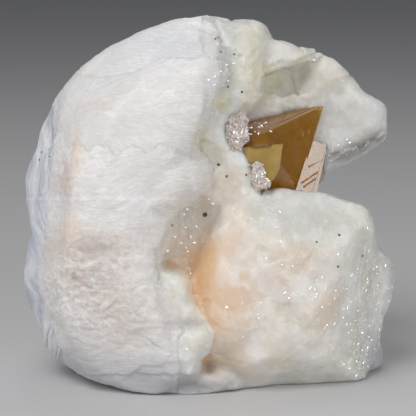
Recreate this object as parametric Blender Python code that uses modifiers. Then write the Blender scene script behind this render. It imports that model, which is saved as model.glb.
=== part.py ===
"""Powellite with apophyllite on a broken radiating mass of stilbite, standing on its flat broken base.

Metres, +Z up, +Y away from the show side. The origin is at the middle of the base.
The outlines are in millimetres, measured on an upright picture of the show side: across from the
picture's middle, and up from the lowest point of the base. A third number is the depth, in
millimetres behind the middle of the specimen. The function place turns the three into a point.
"""

import math

import bmesh
import bpy
import numpy as np
from mathutils import Matrix, Vector, noise

MM = 0.001

# The picture that the outlines are measured on
VIEW_TILT = math.radians(10.0)
VIEW_DISTANCE = 500.0
AIM_HEIGHT = 39.0
PICTURE_MIDDLE_UP = 43.4

# Fit between pieces that touch, and the edge of the blocks that planes are cut from
GAP = 0.3
BLOCK_EDGE = 200.0

# How finely the masses are fused and then thinned out
FUSE_STEP = 0.75
MATRIX_FACES = 8200
LUMP_ROUNDS = 4

# Rough broken surface of the matrix
ROUGH_HEIGHT = 0.9
ROUGH_LENGTH = 9.0
GRAIN_HEIGHT = 0.45
GRAIN_LENGTH = 3.2

# Powellite, a steep tetragonal dipyramid: the slope of its faces from the square's plane
FACE_SLOPE = math.radians(65.4)
POWELLITE_AXIS = (0.757, 0.628, -0.180)
POWELLITE_NEAR_EDGE = (-0.678, -0.331, 0.656)

# Outlines of the masses of stilbite, each clockwise from the top left as (across, up, depth)
DOME = [
    (-4, 87, -5), (2, 87, -7), (3, 84, -9), (4.5, 79.5, -11),
    (5.5, 74.5, -13), (2.5, 71, -14), (2, 69, -14), (0, 63.5, -14),
    (-3, 60.5, -13), (-3, 58, -13), (-1, 55.5, -15), (0.5, 52.5, -16),
    (0, 48.5, -16), (-2.5, 45.5, -14), (-7, 42.5, -13), (-7, 39, -13),
    (-8.5, 34.5, -13), (-10, 31.5, -13), (-11, 25.5, -14), (-9, 21, -16),
    (-7.5, 15, -18), (-6.5, 10.5, -20), (-6.5, 5.5, -21), (-7.5, 2, -21),
    (-11, 0, -21.5), (-15.5, 1, -19), (-21.5, 2, -17), (-26, 3.5, -13),
    (-30, 5, -9), (-33.5, 8, -6), (-36, 9.5, -4), (-38.5, 15.5, -3),
    (-40.5, 20.5, -2), (-41.5, 25.5, -2), (-42, 28.5, -2), (-41.5, 34, -3),
    (-40.5, 39, -3), (-41.5, 44, -2), (-42, 49.5, -1), (-40.8, 52, 0),
    (-39.2, 56.5, 0), (-38.6, 60, 0), (-36.5, 65.3, 0), (-35, 68.7, 0),
    (-32, 72.5, 0), (-28, 76.5, 0), (-25.5, 78.5, 0), (-20, 82, -1),
    (-15, 84.5, -2), (-8.5, 86.5, -3),
]
RIM_UPPER = [
    (-13.5, 31, -17), (-9, 29.5, -14), (-6.5, 29, -14), (-4.5, 28, -14),
    (-4, 26, -14), (-3.5, 23.5, -14), (-2.5, 21, -15), (-0.5, 18, -16),
    (0, 16.5, -16), (-3, 15.5, -16), (-6.5, 15, -17), (-11, 15.5, -18),
    (-13.5, 22.5, -18),
]
RIM_LOWER = [
    (-11, 18, -18), (-5.5, 17, -16), (0, 16.5, -15), (1, 15, -15),
    (1, 12, -15), (0, 10, -15), (-1.5, 8.5, -16), (-2, 5, -17),
    (-3.5, 3.5, -18), (-7.5, 2, -20), (-11, 2.5, -20), (-13.5, 11, -20),
]
CROWN = [
    (-3, 86.5, -3), (0, 87.5, -2), (4.5, 87, -1), (9.5, 86.5, 0),
    (11.3, 86.3, 0), (12.8, 85.3, 0), (13.3, 84, 0), (14.3, 82.8, 0),
    (14.2, 81.5, -1), (14, 79, -2), (13, 76.5, -3), (13.5, 74.5, -3),
    (13, 73, -3), (12.5, 70, -3), (11.5, 67, -4), (8.5, 64, -5),
    (6, 62.5, -7), (2.5, 63, -9), (-0.5, 67, -10), (-2, 75, -8),
]
SADDLE = [
    (-4, 63.5, -13), (1, 69, -11), (5.5, 68.5, -9), (7.5, 65, -9),
    (7.5, 57.5, -12.5), (9.5, 55.5, -13.8), (11, 53.5, -14.2), (11.5, 48.5, -14.5),
    (13, 44, -14), (12.5, 34, -14), (6, 24.5, -13), (-0.5, 22.5, -12.5),
    (-6.5, 25.5, -12), (-11, 31, -12), (-9, 42, -12), (-5.5, 47.5, -12),
    (-4, 57, -13),
]
VALLEY = [
    (-13, 34, -9), (-4, 33, -9), (4, 33, -10), (12, 34, -10),
    (13, 18, -11), (13, 2, -13), (4, 1.5, -15), (-6, 1, -17), (-13, 1, -18), (-13, 18, -12),
]
PLATE = [
    (12.5, 77, 2), (18.5, 80.5, 2), (22, 79.5, 2), (27.5, 78.5, 3),
    (29.5, 77, 4), (32, 74.5, 5), (33.5, 73.5, 5), (35, 71.5, 6),
    (36, 70, 7), (38, 69, 7), (40, 67.8, 7.5), (41.6, 66.3, 8),
    (41.4, 64.5, 8), (41.5, 60.5, 8), (40.5, 59, 9), (38, 57, 10),
    (34.5, 55, 10), (31, 52.5, 9), (27, 50.5, 8), (26, 47, 7),
    (25, 44, 6), (17.5, 42.5, 4), (11, 44, 2), (8.5, 54.5, 0),
    (8, 63.5, 0), (10, 72, 1),
]
BROW = [
    (11.5, 80.5, -2), (13, 81.5, -1), (15, 81.5, 0), (18.5, 81, 0),
    (21, 79.5, 1), (23, 79, 1), (25, 78.5, 2), (23.5, 77.5, 0),
    (22.5, 77, -1), (18.5, 76, -3), (16, 75, -4), (13.5, 74.2, -4),
    (11.5, 74, -4),
]
BLOCK = [
    (-3, 22.5, -14.5), (-3, 28.5, -13), (-1.5, 35, -12), (1, 40, -12),
    (4, 44.5, -12), (7.5, 46.5, -13), (11.5, 48, -14.3), (16, 48, -14),
    (21.5, 47, -12), (25, 47, -11), (28.5, 46, -10), (31.5, 45.5, -9),
    (36.5, 44.5, -7), (38, 42.5, -6), (38, 40.5, -5), (39, 37.5, -4),
    (39, 34.5, -4), (39.5, 29, -3), (39.5, 22.5, -3), (40.5, 17, -3),
    (39.5, 14, -3), (39, 11, -3), (37.5, 6, -4), (35, 3, -6),
    (32, 1.9, -8), (26.5, 1.8, -10), (16.5, 1.4, -13), (9.5, 0.9, -16),
    (8, 2.5, -16), (5.5, 5.5, -15), (1.5, 7, -15), (-2, 8.5, -15),
    (-2, 11, -15.5), (-3, 15.5, -15.5),
]
BLOCK_BUMP = [
    (38, 35.5, -3), (40, 34, -2), (42.5, 32, 0), (43, 29.5, 1),
    (42.5, 27, 1), (42, 22.5, 1), (41, 19.5, 1), (39, 17, -1),
    (37, 22.5, -3), (36.5, 30.5, -4),
]
REAR_LUMP = [
    (36.5, 15.5, 4), (39.5, 14, 4), (40, 11, 4), (40, 7, 4),
    (38.5, 5, 4), (35.5, 4, 3), (32.5, 8.5, 3),
]
WEDGE = [
    (-10, 2.5, -17), (-5.5, 3.5, -17), (-2, 5.5, -16), (1.5, 6, -15),
    (4.5, 5, -15), (6.5, 3.5, -16), (8.5, 2, -17), (6, 1, -18),
    (0, 0.5, -19), (-5, 0.5, -20), (-9, 0, -20),
]
CORE = [
    (-34, 63.5, 6), (-25, 74.5, 6), (-11, 81, 6), (5, 82.5, 8),
    (12.5, 79.5, 8), (21, 75, 10), (25.5, 67, 10), (25, 52, 8),
    (24.5, 45.5, 6), (28, 42, 6), (36, 40, 6), (38, 31.5, 7),
    (38.5, 22.5, 7), (38, 12, 6), (36, 5, 4), (21, 2.5, 0),
    (-2, 1, -5), (-20.5, 2.5, -6), (-30.5, 8.5, 0), (-36.5, 19, 4),
    (-38, 31.5, 6), (-38, 47.5, 6),
]

# The shaded hollow under the brow, cut out of the plate
BROW_HOLLOW = [
    (11.5, 74, -3), (13.5, 74.3, -3), (16, 75, -2.5), (18.5, 76, -1.5),
    (21.5, 77, 0), (24, 77, 1.5), (23.5, 73, 2.2), (20.5, 69.5, 1.5),
    (16.5, 69.7, 1), (14.5, 70.5, 0.5), (11.5, 70, 0),
]


def view_axes():
    """The picture's right, up and towards-the-viewer directions."""
    rise, level = math.sin(VIEW_TILT), math.cos(VIEW_TILT)
    return Vector((1, 0, 0)), Vector((0, rise, level)), Vector((0, -level, rise))


def place(across, up, depth):
    """The point, in millimetres, that is seen at this place of the picture and lies at this depth."""
    right, upward, towards = view_axes()
    aim = Vector((0, 0, AIM_HEIGHT))
    eye = aim + towards * VIEW_DISTANCE
    seen = aim + right * across + upward * (up - PICTURE_MIDDLE_UP)
    ray = seen - eye
    return eye + ray * ((depth - eye.y) / ray.y)


def in_view(direction):
    """A direction given as right, up and towards the viewer, in the specimen's own axes."""
    right, upward, towards = view_axes()
    return (right * direction[0] + upward * direction[1] + towards * direction[2]).normalized()


def fresh_scene():
    for thing in list(bpy.data.objects):
        bpy.data.objects.remove(thing)


def new_object(name, mesh, collection):
    thing = bpy.data.objects.new(name, mesh)
    collection.objects.link(thing)
    return thing


def mesh_from(bm, name):
    mesh = bpy.data.meshes.new(name)
    bm.to_mesh(mesh)
    bm.free()
    return mesh


def reach_of(outline, centre, angles):
    """How far the outline lies from its centre in each direction, and its depth there."""
    corners = np.array(outline, float)
    start = corners[:, :2] - centre
    ends = np.roll(start, -1, axis=0)
    depths, depth_ends = corners[:, 2], np.roll(corners[:, 2], -1)
    reach, depth = np.zeros(len(angles)), np.zeros(len(angles))
    for number, angle in enumerate(angles):
        ray = np.array((math.cos(angle), math.sin(angle)))
        side = ends - start
        across = side[:, 0] * ray[1] - side[:, 1] * ray[0]
        across[np.abs(across) < 1e-9] = 1e-9
        along = (start[:, 1] * ray[0] - start[:, 0] * ray[1]) / across
        far = (start + side * along[:, None]) @ ray
        far[(along < -1e-9) | (along > 1 + 1e-9)] = -1
        best = int(np.argmax(far))
        reach[number] = far[best]
        depth[number] = depths[best] + (depth_ends[best] - depths[best]) * along[best]
    return reach, depth


def lump(outline, centre, front, back, front_square=2.5, back_square=2.5, lean=(0.0, 0.0)):
    """A closed rounded mass whose outline, seen in the picture, is the one given.

    Its front swells to the depth front and its back to the depth back; a higher square makes
    that side flatter with a sharper edge. The lean tilts the front, across and up.
    """
    bm = bmesh.new()
    bmesh.ops.create_icosphere(bm, subdivisions=LUMP_ROUNDS, radius=1)
    ball = np.array([v.co[:] for v in bm.verts])
    share = np.minimum(np.hypot(ball[:, 0], ball[:, 2]), 1.0)
    reach, ring = reach_of(outline, np.array(centre), np.arctan2(ball[:, 2], ball[:, 0]))
    across = reach * ball[:, 0]
    up = reach * ball[:, 2]
    near = front + lean[0] * across + lean[1] * up
    front_swell = np.sqrt(1 - share**front_square)
    back_swell = np.sqrt(1 - share**back_square)
    depth = np.where(ball[:, 1] < 0, ring + (near - ring) * front_swell, ring + (back - ring) * back_swell)
    for vert, a, u, d in zip(bm.verts, across + centre[0], up + centre[1], depth):
        vert.co = place(a, u, d)
    bmesh.ops.recalc_face_normals(bm, faces=bm.faces)
    return bm


def facet(bm, first, second, third, outward):
    """Break the mass off flat along the plane through three measured points."""
    a, b, c = place(*first), place(*second), place(*third)
    normal = (b - a).cross(c - a).normalized()
    if normal.dot(Vector(outward)) < 0:
        normal = -normal
    everything = bm.verts[:] + bm.edges[:] + bm.faces[:]
    cut = bmesh.ops.bisect_plane(bm, geom=everything, plane_co=a, plane_no=normal, clear_outer=True)
    edges = [item for item in cut["geom_cut"] if isinstance(item, bmesh.types.BMEdge)]
    if edges:
        bmesh.ops.contextual_create(bm, geom=edges)


def fibrous_dome():
    towards_left_top = (-1, -1, 1)
    bm = lump(DOME, (-20, 42), front=-27.5, back=20, front_square=3.4, back_square=2.6, lean=(0.03, 0.02))
    facet(bm, (-14.5, 73, -20.5), (0, 78.5, -18), (-8, 87, -5), (0, -1, 1))
    facet(bm, (-31, 64.5, -18), (-15, 73, -20.5), (-27, 78, -4), towards_left_top)
    facet(bm, (-34, 59, -17), (-35.5, 40, -18), (-41, 47, -4), (-1, -1, 0))
    facet(bm, (-38, 28, -16.5), (-33.5, 11, -15.5), (-41.5, 24, -5), (-1, -1, -0.5))
    facet(bm, (-30, 10, -21), (-8, 9, -24.5), (-11, 0, -21.5), (0, -1, -1))
    return bm


def broken_block():
    bm = lump(BLOCK, (20, 26), front=-21.5, back=20, front_square=2.8, back_square=4.0, lean=(0.22, 0.0))
    facet(bm, (11, 47.5, -14.5), (36, 43.5, -9), (24, 34, -20.5), (0, -1, 0.6))
    facet(bm, (39, 30, -6), (38, 12, -5), (30, 20, -17), (1, -1, 0))
    facet(bm, (10, 5.5, -18), (34, 4.5, -9.5), (22, 9.5, -20.3), (0, -1, -0.4))
    return bm


def fan_plate():
    bm = lump(PLATE, (24, 62), front=2, back=21, front_square=14, back_square=2.2, lean=(0.15, -0.02))
    facet(bm, (27, 54, 4), (41.5, 61, 6), (34, 55, 9.5), (0, -1, -1))
    return bm


def back_core():
    bm = lump(CORE, (-3, 42), front=-4, back=29, front_square=3, back_square=2.4)
    facet(bm, (-30, 60, 20), (-10, 70, 22), (-20, 30, 27), (-0.4, 1, 0.4))
    facet(bm, (20, 60, 19), (25, 20, 21), (0, 45, 28), (0.6, 1, 0.1))
    facet(bm, (-20, 12, 22), (20, 10, 22), (0, 40, 28), (0, 1, -0.6))
    return bm


def stilbite_masses():
    """Every mass that the matrix is grown from, as closed overlapping shapes."""
    yield fibrous_dome()
    yield lump(RIM_UPPER, (-8, 22), front=-24, back=0, front_square=4)
    yield lump(RIM_LOWER, (-6, 10), front=-23, back=0, front_square=4)
    yield lump(CROWN, (6, 75), front=-10.8, back=14, front_square=3, lean=(0.24, 0.0))
    yield lump(SADDLE, (2, 45), front=-13.4, back=12, front_square=3, lean=(-0.08, -0.03))
    yield lump(VALLEY, (0, 16), front=-14, back=6, front_square=4)
    yield lump(BROW, (17, 78), front=-4.5, back=10, front_square=5, lean=(0.2, 0.1))
    yield fan_plate()
    yield broken_block()
    yield lump(BLOCK_BUMP, (39.5, 27), front=-5, back=9, front_square=2.2)
    yield lump(REAR_LUMP, (37, 9.5), front=-1, back=14, front_square=2.2)
    yield lump(WEDGE, (-1, 3), front=-20, back=0, front_square=3)
    yield back_core()


def joined(meshes, collection, name):
    """All the closed shapes in one object, still overlapping."""
    everything = bmesh.new()
    for bm in meshes:
        piece = mesh_from(bm, name)
        everything.from_mesh(piece)
        bpy.data.meshes.remove(piece)
    return new_object(name, mesh_from(everything, name), collection)


def applied(thing):
    """The object's mesh with its modifiers worked in."""
    graph = bpy.context.evaluated_depsgraph_get()
    mesh = bpy.data.meshes.new_from_object(thing.evaluated_get(graph), depsgraph=graph)
    old = thing.data
    thing.modifiers.clear()
    thing.data = mesh
    bpy.data.meshes.remove(old)


def cut_or_join(thing, other, operation):
    step = thing.modifiers.new(operation.lower(), "BOOLEAN")
    step.operation = operation
    step.object = other
    step.solver = "EXACT"
    applied(thing)


def fuse(thing):
    step = thing.modifiers.new("fuse", "REMESH")
    step.mode = "VOXEL"
    step.voxel_size = FUSE_STEP
    applied(thing)


def thin_out(thing, faces):
    step = thing.modifiers.new("thin", "DECIMATE")
    step.ratio = min(1.0, faces / sum(len(p.vertices) - 2 for p in thing.data.polygons))
    step.use_collapse_triangulate = True
    applied(thing)


def roughen(mesh):
    """Push the surface in and out as a broken stone's is: low swells, and small steps on top."""
    count = len(mesh.vertices)
    spots, normals = np.empty(count * 3), np.empty(count * 3)
    mesh.vertices.foreach_get("co", spots)
    mesh.vertices.foreach_get("normal", normals)
    spots, normals = spots.reshape(-1, 3), normals.reshape(-1, 3)
    swell = np.array([noise.noise(spot) for spot in spots / ROUGH_LENGTH])
    grain = np.array([0.5 - abs(noise.noise(spot)) for spot in spots / GRAIN_LENGTH + (7, 3, 1)])
    spots += normals * (ROUGH_HEIGHT * swell + GRAIN_HEIGHT * grain)[:, None]
    mesh.vertices.foreach_set("co", spots.ravel())


def half_space_solid(centre, planes, grow):
    """A convex crystal from its faces' directions and distances, each moved out by grow."""
    bm = bmesh.new()
    bmesh.ops.create_cube(bm, size=BLOCK_EDGE)
    bmesh.ops.translate(bm, verts=bm.verts, vec=centre)
    for normal, distance in planes:
        everything = bm.verts[:] + bm.edges[:] + bm.faces[:]
        spot = centre + normal * (distance + grow)
        cut = bmesh.ops.bisect_plane(bm, geom=everything, plane_co=spot, plane_no=normal, clear_outer=True)
        edges = [item for item in cut["geom_cut"] if isinstance(item, bmesh.types.BMEdge)]
        if edges:
            bmesh.ops.contextual_create(bm, geom=edges)
    bmesh.ops.recalc_face_normals(bm, faces=bm.faces)
    return bm


def crystal_frame():
    """The powellite's long axis and its two crosswise edge directions."""
    axis = in_view(POWELLITE_AXIS)
    near = in_view(POWELLITE_NEAR_EDGE)
    near = (near - axis * near.dot(axis)).normalized()
    return axis, near, axis.cross(near)


def dipyramid(tip, edge, bevels, grow, spin=None, trims=()):
    """A steep dipyramid with its tip at a measured point.

    The edge is the length of its tip edges. The bevels are narrow faces along the near edge, the
    low edge and across the tip. Trims are further faces, as (direction, distance back from the tip).
    """
    axis, near, low = crystal_frame()
    if spin:
        axis, near, low = spin @ axis, spin @ near, spin @ low
    half_side = edge / math.sqrt(math.tan(FACE_SLOPE) ** 2 + 2)
    half_height = half_side * math.tan(FACE_SLOPE)
    top = place(*tip)
    centre = top - axis * half_height
    far = half_side * math.sin(FACE_SLOPE)
    planes = []
    for end in (1, -1):
        for first in (1, -1):
            for second in (1, -1):
                side = (near * first + low * second).normalized()
                planes.append((axis * (end * math.cos(FACE_SLOPE)) + side * math.sin(FACE_SLOPE), far))
    edge_slope = math.atan2(half_side * math.sqrt(2), half_height)
    edge_far = half_side * math.sqrt(2) * math.cos(edge_slope)
    for side, depth in ((near, bevels[0]), (low, bevels[1])):
        if depth:
            planes.append((side * math.cos(edge_slope) + axis * math.sin(edge_slope), edge_far - depth))
    if bevels[2]:
        planes.append((axis, half_height - bevels[2]))
    for direction, depth in trims:
        planes.append((in_view(direction), (top - centre).dot(in_view(direction)) - depth))
    return half_space_solid(centre, planes, grow)


def powellite_pieces(grow):
    """The main crystal, the pale one in front of it and the one behind it, in parallel growth."""
    left_end, foot, front = (-1, -0.2, 0), (0.1, -1, 0), (0, 0, 1)
    pale_face, pale_left = (-0.05, 0.15, 0.98), (-0.914, -0.407, 0)
    main_trims = ((front, -13.4), (left_end, -19.5), (foot, -21.5))
    yield dipyramid((27.1, 67.0, 1.5), 22.0, (0.3, 0.45, 0.12), grow, trims=main_trims)
    pale_trims = ((pale_face, -0.4), (pale_left, -8.7), (foot, -9.8))
    yield dipyramid((17.4, 57.8, -12.2), 15.0, (0, 0.3, 0.15), grow, trims=pale_trims)
    tilt = Matrix.Rotation(math.radians(7), 3, "Z")
    rear_trims = ((front, -6.5), (left_end, -9.0), (foot, -12.0))
    yield dipyramid((27.6, 57.4, 1.5), 16.0, (0, 0.2, 0.15), grow, spin=tilt, trims=rear_trims)


def united(solids, collection, name):
    """The overlapping crystals as one solid."""
    pieces = [new_object(name + "_piece", mesh_from(bm, name), collection) for bm in solids]
    whole = pieces[0]
    for other in pieces[1:]:
        cut_or_join(whole, other, "UNION")
        bpy.data.objects.remove(other)
    whole.name = name
    return whole


def small_block(centre, size, turn, grow):
    """One small square crystal with a blunt end."""
    turns = (Matrix.Rotation(angle, 3, axis) for angle, axis in zip(turn, "XYZ"))
    about_x, about_y, about_z = turns
    spun = about_z @ about_y @ about_x
    planes = []
    for axis, length in zip(range(3), (1.0, 1.0, 1.25)):
        for sign in (1, -1):
            direction = Vector((0, 0, 0))
            direction[axis] = sign
            planes.append((spun @ direction, size * length / 2))
    for first in (1, -1):
        for second in (1, -1):
            planes.append((spun @ Vector((first, second, 1.1)).normalized(), size * 0.72))
    return half_space_solid(centre, planes, grow)


# Small apophyllite crystals, each as across, up, depth, size and turn
UPPER_CRUST = [
    (5.9, 62.8, -11.6, 2.2, 0.2), (7.4, 63.6, -10.8, 2.3, 0.9), (5.5, 61.1, -12.2, 2.3, 1.7),
    (7.0, 61.7, -11.8, 2.4, 2.4), (6.1, 59.5, -12.8, 2.2, 0.5), (7.7, 59.8, -12.4, 2.3, 1.2),
    (6.8, 58.3, -13.2, 2.0, 2.9),
]
LOWER_CRUST = [
    (11.3, 52.6, -14.2, 1.7, 0.4), (11.8, 51.2, -14.5, 1.9, 1.1), (12.2, 49.8, -14.8, 1.9, 2.0),
    (11.2, 50.4, -14.6, 1.7, 2.7), (12.9, 49.0, -15.0, 1.8, 0.8), (11.9, 48.7, -15.0, 1.7, 1.6),
]


def crust_pieces(crystals, grow):
    for across, up, depth, size, turn in crystals:
        yield small_block(place(across, up, depth), size, (turn, turn * 0.7, turn * 1.3), grow)


def build_matrix(collection, cutters):
    matrix = joined(stilbite_masses(), collection, "stilbite_matrix")
    fuse(matrix)
    hollow = lump(BROW_HOLLOW, (17, 73), front=-12, back=3.8, front_square=6, back_square=2.5)
    hollow = new_object("brow_hollow", mesh_from(hollow, "brow_hollow"), cutters)
    cut_or_join(matrix, hollow, "DIFFERENCE")
    roughen(matrix.data)
    thin_out(matrix, MATRIX_FACES)
    floor = bmesh.new()
    bmesh.ops.create_cube(floor, size=BLOCK_EDGE)
    bmesh.ops.translate(floor, verts=floor.verts, vec=(0, 0, -BLOCK_EDGE / 2))
    floor = new_object("floor", mesh_from(floor, "floor"), cutters)
    cut_or_join(matrix, floor, "DIFFERENCE")
    return matrix


def material(name, colour, roughness, transmission=0.0, ior=1.5):
    made = bpy.data.materials.new(name)
    made.use_nodes = True
    shader = made.node_tree.nodes["Principled BSDF"]
    shader.inputs["Base Color"].default_value = (*colour, 1)
    shader.inputs["Roughness"].default_value = roughness
    shader.inputs["Transmission Weight"].default_value = transmission
    shader.inputs["IOR"].default_value = ior
    return made


def settle(things):
    """Bring the finished pieces to metres, with the origin at the middle of the base."""
    corners = np.array([vert.co[:] for thing in things for vert in thing.data.vertices])
    middle = (corners.min(axis=0) + corners.max(axis=0)) / 2
    shift = Matrix.Translation((-middle[0], -middle[1], -corners[:, 2].min()))
    for thing in things:
        thing.data.transform(Matrix.Scale(MM, 4) @ shift)
        thing.data.update()


def main():
    fresh_scene()
    specimen = bpy.data.collections.new("powellite_specimen")
    cutters = bpy.data.collections.new("cutters")
    bpy.context.scene.collection.children.link(specimen)
    bpy.context.scene.collection.children.link(cutters)

    matrix = build_matrix(specimen, cutters)
    powellite = united(powellite_pieces(0), specimen, "powellite_crystals")
    pocket = united(powellite_pieces(GAP), cutters, "powellite_pocket")
    crusts = []
    beds = (("apophyllite_upper_crust", UPPER_CRUST), ("apophyllite_lower_crust", LOWER_CRUST))
    for name, crystals in beds:
        crust = united(crust_pieces(crystals, 0), specimen, name)
        cut_or_join(crust, pocket, "DIFFERENCE")
        room = united(crust_pieces(crystals, GAP), cutters, name + "_room")
        cut_or_join(matrix, room, "DIFFERENCE")
        crusts.append(crust)
    cut_or_join(matrix, pocket, "DIFFERENCE")

    for thing, look in (
        (matrix, material("stilbite", (0.80, 0.78, 0.73), 0.6)),
        (powellite, material("powellite", (0.45, 0.24, 0.05), 0.08, 1.0, 1.97)),
        (crusts[0], material("apophyllite_pink", (0.80, 0.72, 0.72), 0.1, 1.0, 1.54)),
        (crusts[1], material("apophyllite_clear", (0.85, 0.80, 0.74), 0.1, 1.0, 1.54)),
    ):
        thing.data.materials.clear()
        thing.data.materials.append(look)
    settle([matrix, powellite, *crusts])
    for cutter in cutters.objects:
        cutter.hide_render = True
        cutter.display_type = "WIRE"


main()
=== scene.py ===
"""The looks of the powellite specimen: chalky radiating stilbite, waxy peach stilbite, clear crystals.

Metres, +Z up. Regions are measured in millimetres on an upright picture of the show side, across
from its middle and up from the base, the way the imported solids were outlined.
"""

import bisect
import itertools
import math
import random

import bmesh
import bpy
import numpy as np
from mathutils import Matrix, Vector
from mathutils.bvhtree import BVHTree


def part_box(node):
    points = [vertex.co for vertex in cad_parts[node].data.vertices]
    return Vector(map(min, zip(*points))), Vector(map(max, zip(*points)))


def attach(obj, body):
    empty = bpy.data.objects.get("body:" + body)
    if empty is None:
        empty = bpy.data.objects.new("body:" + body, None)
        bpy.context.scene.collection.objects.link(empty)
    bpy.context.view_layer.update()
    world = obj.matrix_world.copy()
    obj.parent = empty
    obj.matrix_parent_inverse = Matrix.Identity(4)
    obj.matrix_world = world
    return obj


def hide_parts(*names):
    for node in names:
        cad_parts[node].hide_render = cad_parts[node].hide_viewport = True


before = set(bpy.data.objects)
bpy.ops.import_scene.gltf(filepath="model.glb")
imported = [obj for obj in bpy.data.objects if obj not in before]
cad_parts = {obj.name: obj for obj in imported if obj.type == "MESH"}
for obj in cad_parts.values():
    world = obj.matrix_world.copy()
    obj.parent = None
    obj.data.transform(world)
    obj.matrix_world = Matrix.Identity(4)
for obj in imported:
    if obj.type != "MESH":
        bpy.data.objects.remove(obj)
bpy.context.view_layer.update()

MM = 0.001

# The view, and where its middle lies on the picture of the show side
VIEW_TILT = math.radians(10.0)
VIEW_DISTANCE = 500.0
AIM = Vector((-0.58, -0.26, 39.0))
PICTURE_MIDDLE_UP = 43.4
LENS = 188.0

# The fine surface of the stilbite, and how it closes on the crystals
SURFACE_STEP = 0.85
SMOOTH_ROUNDS = 3
SHOW_SIDE_FACING = 0.12
BASE_FADE = 1.2
CONTACT_SEARCH = 2.5
CONTACT_FADE = (0.5, 2.3)
CONTACT_REACH = 0.75
CONTACT_DEPTH = 0.4
CUTTER_SHRINK = 0.997

# The fans of fibres in the broken dome: the place each spreads from, its heading and how finely it parts
UPPER_FAN = ((-33.0, 64.0), 0.0, 34)
BAND_FAN = ((-62.0, 74.0), 0.0, 50)
MIDDLE_FAN = ((-110.0, 34.0), 0.0, 95)
LOWER_FAN = ((-110.0, 14.0), 0.0, 95)
SIDE_FAN = ((-37.0, -60.0), math.pi / 2, 100)
FAN_THROAT = 8.0
SWAY = 30.0

# Where the fans end: the edge of the left strips as places up and across, the bottom of the top
# band as places across and up, and how high the middle and the lower fan reach
SIDE_STRIP_EDGE = (
    (11, 18.1, 23.4, 28.2, 32.6, 37, 46.9, 49.7, 59.6, 72),
    (-33.5, -36.6, -38.2, -38.8, -38.2, -36.8, -36.6, -35.7, -35.2, -34),
)
BAND_BOTTOM = ((-26, -16.3, -9.4, 6), (73.5, 74.5, 78, 77.8))
MIDDLE_FAN_TOP = 54.0
LOWER_FAN_TOP = 13.0

# The border of the chalky face of the dome, clockwise from its top
CHALK_FACE = [
    (-14, 90), (-1, 88), (-2, 83), (-0.7, 78.2), (4, 77.3), (5.3, 74.3), (2.9, 71.4), (2, 69.4),
    (0, 63.7), (-1.2, 62.1), (-3, 60.5), (-3.2, 58.4), (-2.3, 56.5), (0, 54.9), (0.7, 52.6),
    (0.2, 48.5), (-4.6, 44.1), (-9.7, 39.5), (-11.3, 34.5), (-12.2, 31.2), (-11.5, 28.2),
    (-11.9, 26.4), (-9, 25.2), (-8.1, 22.9), (-6.5, 20.4), (-6.8, 17.7), (-5.5, 16.3),
    (-6.2, 14.9), (-6.9, 13.3), (-7.4, 10.5), (-6.6, 6.8), (-6.9, 3.6), (-7.7, 0), (-12, -4),
    (-50, -4), (-50, 90),
]

# The outer border of the waxy rim beside the chalky face
RIM = [
    (-0.9, 45.7), (-3.7, 43.7), (-6.9, 43.7), (-7.2, 41.6), (-5.9, 40.9), (-6.7, 39.5), (-7.4, 36.5),
    (-8.2, 34.3), (-9.2, 32.7), (-9.8, 30.8), (-9.2, 29.6), (-7.8, 29.4), (-5.4, 28.7), (-4.6, 27.9),
    (-4.4, 26.6), (-3.5, 25.7), (-3.5, 23.6), (-2.7, 21.7), (-1.7, 19.7), (-0.5, 18.1), (0, 16.5),
    (1.2, 14.9), (1, 12), (0.4, 10.1), (-1.6, 8.4), (-1.9, 5.2), (-50, 5.2), (-50, 45.7),
]

# Soft places, each as across, up, half width, half height and strength. Peach tints the stone, amber
# gives its colour with painted shade in the crevices, olive is painted shade in the hollows, cool and
# dusky are painted shade on faces turned from the light, swirl tangles its fibres, sparkle roughens it
# and sets glints, and calm smooths it
PEACH = [
    (-27.6, 74.5, 2.5, 1.0, 0.4), (-26, 66.9, 3.4, 1.0, 0.4), (-30.2, 56.8, 0.9, 5, 0.8),
    (-32.4, 51, 1.2, 2.6, 0.6), (-33.5, 48.2, 1.5, 1.6, 0.5), (-31.3, 38.5, 2.2, 3, 0.4),
    (-27.2, 35.5, 5, 2, 0.5), (-28, 32, 8, 6, 0.35), (-22, 22.3, 5, 4, 0.35), (-33, 33.8, 2, 6, 0.4),
    (-20, 14.2, 7, 3.5, 0.2), (-8.2, 20, 2.4, 7, 0.15),
    (-4.1, 35, 5.0, 8, 0.6), (1.6, 45.3, 3.6, 3.6, 0.45), (4.6, 51, 3.2, 4, 0.35),
    (17.7, 33.8, 4.2, 2.4, 0.35), (22.3, 29.2, 5.8, 3.2, 0.3), (25.8, 22.3, 5.2, 3.8, 0.25),
    (4.6, 22.3, 5.5, 13, 0.85), (3.4, 33, 4.5, 7, 0.75), (9.7, 9.5, 9, 3.5, 0.5), (11, 22, 7, 11, 0.45),
    (19, 27, 11, 6, 0.35), (27, 16, 6, 8, 0.25),
]
# Amber places: the stone's own amber, with painted contact shade in the crevice where the rim meets the
# block and in a small pocket
AMBER_AND_SHADE = [
    (-2.4, 24, 2.4, 6.5, 0.85), (0.2, 19, 2.8, 8, 0.6), (-0.6, 29.5, 2.4, 5, 0.6),
    (-9.2, 30.2, 2.0, 1.6, 0.8), (-5, 31, 4, 3.5, 0.5), (-0.9, 8.6, 1.5, 1.6, 0.9),
    (2.2, 8.6, 3.6, 2, 0.45), (0.6, 33.5, 1.8, 3.2, 0.6),
]
# Olive places: painted olive-yellow shade in the hollows under the fan's brow and the dome's lobe, standing
# in for light through the stone
OLIVE_SHADE = [
    (14.7, 72.9, 3.4, 2.8, 0.9), (9.7, 77.5, 3.2, 6, 0.35), (3.2, 67.8, 1.7, 1.6, 0.9),
    (-1.2, 59, 1.9, 4.2, 0.5), (23.5, 74, 5, 3.5, 0.3), (12.4, 68.3, 3, 2, 0.3),
]
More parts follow.
